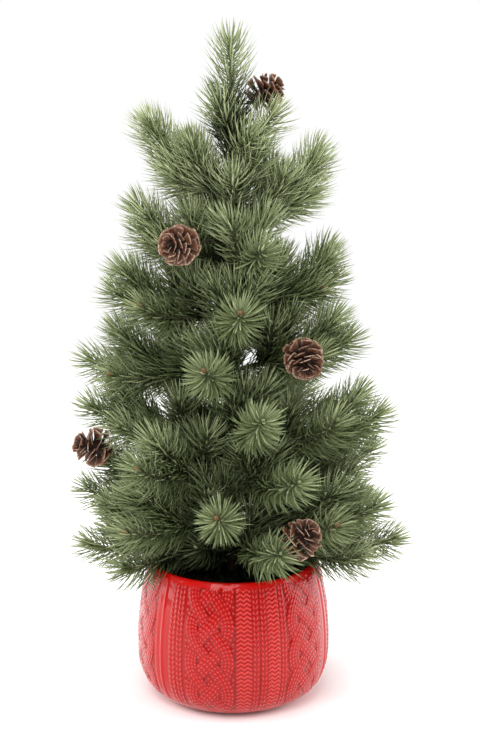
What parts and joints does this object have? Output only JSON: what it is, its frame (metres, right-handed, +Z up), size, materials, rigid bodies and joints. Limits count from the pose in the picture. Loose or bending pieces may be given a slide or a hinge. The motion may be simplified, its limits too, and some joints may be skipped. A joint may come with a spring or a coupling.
{
  "type": "artificial tabletop tree",
  "caption": "Small artificial conifer of moulded sprays on bendable wires, with pine cones, standing in a round knit-embossed glazed pot.",
  "frame": {"origin": "centre of the pot's flat underside", "axes": "+Z up along the trunk, +X to the right and -Y towards the front"},
  "size_m": [0.3107, 0.2776, 0.61],
  "materials": {
    "red_glaze": "gloss glaze over knit relief",
    "cement": "cast",
    "green_foam": "open foam",
    "dark_moss": "dark fibrous mat",
    "steel": "drawn",
    "brown_tape": "crepe tape",
    "taped_wire": "wire wound in crepe tape",
    "green_needles": "moulded needles, satin",
    "cone_wood": "natural dry cone"
  },
  "bodies": {
    "stand": {"pot": "red_glaze", "ballast": "cement", "foam_block": "green_foam", "moss_cover": "dark_moss", "trunk_rod": "steel", "trunk_wrap": "brown_tape"},
    "limb_01": {"limb_wire_01": "taped_wire", "limb_spray_01": "green_needles"},
    "limb_02": {"limb_wire_02": "taped_wire", "limb_spray_02": "green_needles"},
    "limb_03": {"limb_wire_03": "taped_wire", "limb_spray_03": "green_needles"},
    "limb_04": {"limb_wire_04": "taped_wire", "limb_spray_04": "green_needles"},
    "limb_05": {"limb_wire_05": "taped_wire", "limb_spray_05": "green_needles"},
    "limb_06": {"limb_wire_06": "taped_wire", "limb_spray_06": "green_needles"},
    "limb_07": {"limb_wire_07": "taped_wire", "limb_spray_07": "green_needles"},
    "limb_08": {"limb_wire_08": "taped_wire", "limb_spray_08": "green_needles"},
    "limb_09": {"limb_wire_09": "taped_wire", "limb_spray_09": "green_needles"},
    "limb_10": {"limb_wire_10": "taped_wire", "limb_spray_10": "green_needles"},
    "limb_11": {"limb_wire_11": "taped_wire", "limb_spray_11": "green_needles"},
    "limb_12": {"limb_wire_12": "taped_wire", "limb_spray_12": "green_needles"},
    "limb_13": {"limb_wire_13": "taped_wire", "limb_spray_13": "green_needles"},
    "limb_14": {"limb_wire_14": "taped_wire", "limb_spray_14": "green_needles"},
    "limb_15": {"limb_wire_15": "taped_wire", "limb_spray_15": "green_needles"},
    "limb_16": {"limb_wire_16": "taped_wire", "limb_spray_16": "green_needles"},
    "limb_17": {"limb_wire_17": "taped_wire", "limb_spray_17": "green_needles"},
    "twig_01": {"twig_spray_01": "green_needles"},
    "twig_02": {"twig_spray_02": "green_needles"},
    "twig_03": {"twig_spray_03": "green_needles"},
    "twig_04": {"twig_spray_04": "green_needles"},
    "twig_05": {"twig_spray_05": "green_needles"},
    "twig_06": {"twig_spray_06": "green_needles"},
    "twig_07": {"twig_spray_07": "green_needles"},
    "twig_08": {"twig_spray_08": "green_needles"},
    "twig_09": {"twig_spray_09": "green_needles"},
    "twig_10": {"twig_spray_10": "green_needles"},
    "twig_11": {"twig_spray_11": "green_needles"},
    "twig_12": {"twig_spray_12": "green_needles"},
    "twig_13": {"twig_spray_13": "green_needles"},
    "leader": {"leader_spray": "green_needles"},
    "cone_1": {"cone_1": "cone_wood"},
    "cone_2": {"cone_2": "cone_wood"},
    "cone_3": {"cone_3": "cone_wood"},
    "cone_4": {"cone_4": "cone_wood"},
    "cone_5": {"cone_5": "cone_wood"},
    "cone_6": {"cone_6": "cone_wood"}
  },
  "joints": [
    {"name": "limb_01_bend", "type": "hinge", "parent": "stand", "child": "limb_01", "pos_m": [0.00747, -0.00065, 0.136], "axis": [-0.0872, -0.9962, 0], "range_deg": [-8, 9]},
    {"name": "limb_02_bend", "type": "hinge", "parent": "stand", "child": "limb_02", "pos_m": [0.00207, -0.00721, 0.139], "axis": [-0.9613, -0.2756, 0], "range_deg": [-12, 10]},
    {"name": "limb_03_bend", "type": "hinge", "parent": "stand", "child": "limb_03", "pos_m": [-0.00728, -0.00181, 0.137], "axis": [-0.2419, 0.9703, 0], "range_deg": [-8, 10]},
    {"name": "limb_04_bend", "type": "hinge", "parent": "stand", "child": "limb_04", "pos_m": [0.00482, 0.00575, 0.139], "axis": [0.766, -0.6428, 0], "range_deg": [-10, 15]},
    {"name": "limb_05_bend", "type": "hinge", "parent": "stand", "child": "limb_05", "pos_m": [-0.00375, 0.0065, 0.141], "axis": [0.866, 0.5, 0], "range_deg": [-10, 15]},
    {"name": "limb_06_bend", "type": "hinge", "parent": "stand", "child": "limb_06", "pos_m": [-0.00117, -0.00741, 0.17], "axis": [-0.9877, 0.1564, 0], "range_deg": [-10, 7]},
    {"name": "limb_07_bend", "type": "hinge", "parent": "stand", "child": "limb_07", "pos_m": [0.00695, -0.00281, 0.16], "axis": [-0.3746, -0.9272, 0], "range_deg": [-9, 9]},
    {"name": "limb_08_bend", "type": "hinge", "parent": "stand", "child": "limb_08", "pos_m": [-0.0075, 0.00026, 0.172], "axis": [0.0349, 0.9994, 0], "range_deg": [-9, 12]},
    {"name": "limb_09_bend", "type": "hinge", "parent": "stand", "child": "limb_09", "pos_m": [-0.00566, -0.00492, 0.162], "axis": [-0.6561, 0.7547, 0], "range_deg": [-9, 10]},
    {"name": "limb_10_bend", "type": "hinge", "parent": "stand", "child": "limb_10", "pos_m": [0.00317, -0.0068, 0.198], "axis": [-0.9063, -0.4226, 0], "range_deg": [-9, 12]},
    {"name": "limb_11_bend", "type": "hinge", "parent": "stand", "child": "limb_11", "pos_m": [0.00743, 0.00104, 0.19], "axis": [0.1392, -0.9903, 0], "range_deg": [-9, 9]},
    {"name": "limb_12_bend", "type": "hinge", "parent": "stand", "child": "limb_12", "pos_m": [-0.00511, -0.00549, 0.208], "axis": [-0.7314, 0.682, 0], "range_deg": [-7, 7]},
    {"name": "limb_13_bend", "type": "hinge", "parent": "stand", "child": "limb_13", "pos_m": [-0.00104, 0.00743, 0.192], "axis": [0.9903, 0.1392, 0], "range_deg": [-12, 12]},
    {"name": "limb_14_bend", "type": "hinge", "parent": "stand", "child": "limb_14", "pos_m": [0.00169, -0.00731, 0.246], "axis": [-0.9744, -0.225, 0], "range_deg": [-12, 12]},
    {"name": "limb_15_bend", "type": "hinge", "parent": "stand", "child": "limb_15", "pos_m": [0.00724, -0.00194, 0.227], "axis": [-0.2588, -0.9659, 0], "range_deg": [-9, 12]},
    {"name": "limb_16_bend", "type": "hinge", "parent": "stand", "child": "limb_16", "pos_m": [-0.00746, -0.00078, 0.234], "axis": [-0.1045, 0.9945, 0], "range_deg": [-9, 12]},
    {"name": "limb_17_bend", "type": "hinge", "parent": "stand", "child": "limb_17", "pos_m": [0.00397, 0.00636, 0.234], "axis": [0.848, -0.5299, 0], "range_deg": [-12, 8]},
    {"name": "twig_01_bend", "type": "hinge", "parent": "stand", "child": "twig_01", "pos_m": [-0.00181, -0.00728, 0.29], "axis": [-0.9703, 0.2419, 0], "range_deg": [-15, 15]},
    {"name": "twig_02_bend", "type": "hinge", "parent": "stand", "child": "twig_02", "pos_m": [-0.0075, 0.00026, 0.294], "axis": [0.0349, 0.9994, 0], "range_deg": [-15, 15]},
    {"name": "twig_03_bend", "type": "hinge", "parent": "stand", "child": "twig_03", "pos_m": [-0.0043, 0.00614, 0.274], "axis": [0.8192, 0.5736, 0], "range_deg": [-15, 15]},
    {"name": "twig_04_bend", "type": "hinge", "parent": "stand", "child": "twig_04", "pos_m": [0.00026, -0.0075, 0.337], "axis": [-0.9994, -0.0349, 0], "range_deg": [-15, 15]},
    {"name": "twig_05_bend", "type": "hinge", "parent": "stand", "child": "twig_05", "pos_m": [0.00717, -0.00219, 0.303], "axis": [-0.2924, -0.9563, 0], "range_deg": [-15, 15]},
    {"name": "twig_06_bend", "type": "hinge", "parent": "stand", "child": "twig_06", "pos_m": [-0.00739, -0.0013, 0.344], "axis": [-0.1736, 0.9848, 0], "range_deg": [-15, 15]},
    {"name": "twig_07_bend", "type": "hinge", "parent": "stand", "child": "twig_07", "pos_m": [0.00232, 0.00713, 0.318], "axis": [0.9511, -0.309, 0], "range_deg": [-10, 15]},
    {"name": "twig_08_bend", "type": "hinge", "parent": "stand", "child": "twig_08", "pos_m": [0.00749, 0.00039, 0.356], "axis": [0.0523, -0.9986, 0], "range_deg": [-15, 15]},
    {"name": "twig_09_bend", "type": "hinge", "parent": "stand", "child": "twig_09", "pos_m": [0.00257, -0.00705, 0.388], "axis": [-0.9397, -0.342, 0], "range_deg": [-15, 15]},
    {"name": "twig_10_bend", "type": "hinge", "parent": "stand", "child": "twig_10", "pos_m": [-0.00744, -0.00091, 0.394], "axis": [-0.1219, 0.9925, 0], "range_deg": [-15, 15]},
    {"name": "twig_11_bend", "type": "hinge", "parent": "stand", "child": "twig_11", "pos_m": [-0.00281, 0.00695, 0.38], "axis": [0.9272, 0.3746, 0], "range_deg": [-15, 15]},
    {"name": "twig_12_bend", "type": "hinge", "parent": "stand", "child": "twig_12", "pos_m": [0.00717, 0.00219, 0.432], "axis": [0.2924, -0.9563, 0], "range_deg": [-15, 15]},
    {"name": "twig_13_bend", "type": "hinge", "parent": "stand", "child": "twig_13", "pos_m": [-0.0075, 0.00026, 0.454], "axis": [0.0349, 0.9994, 0], "range_deg": [-15, 15]},
    {"name": "leader_bend", "type": "hinge", "parent": "stand", "child": "leader", "pos_m": [0, 0, 0.4729], "axis": [0, 1, 0], "range_deg": [-12, 12]},
    {"name": "cone_1_bend", "type": "hinge", "parent": "leader", "child": "cone_1", "pos_m": [0.0052, 0.00484, 0.53582], "axis": [0.681, -0.7322, 0], "range_deg": [-15, 15]},
    {"name": "cone_2_bend", "type": "hinge", "parent": "stand", "child": "cone_2", "pos_m": [-0.00311, -0.00525, 0.42161], "axis": [-0.8604, 0.5097, 0], "range_deg": [-15, 15]},
    {"name": "cone_3_bend", "type": "hinge", "parent": "twig_05", "child": "cone_3", "pos_m": [0.06747, -0.05367, 0.32692], "axis": [-0.7033, 0.7108, 0], "range_deg": [-15, 15]},
    {"name": "cone_4_bend", "type": "hinge", "parent": "limb_12", "child": "cone_4", "pos_m": [-0.0979, -0.04254, 0.23843], "axis": [0.7665, 0.6422, 0], "range_deg": [-15, 15]},
    {"name": "cone_5_bend", "type": "hinge", "parent": "limb_02", "child": "cone_5", "pos_m": [0.03906, -0.10685, 0.16904], "axis": [0.2645, -0.9644, 0], "range_deg": [-15, 15]},
    {"name": "cone_6_bend", "type": "hinge", "parent": "twig_07", "child": "cone_6", "pos_m": [0.03361, 0.06551, 0.32886], "axis": [0.9764, -0.216, 0], "range_deg": [-15, 15]}
  ]
}
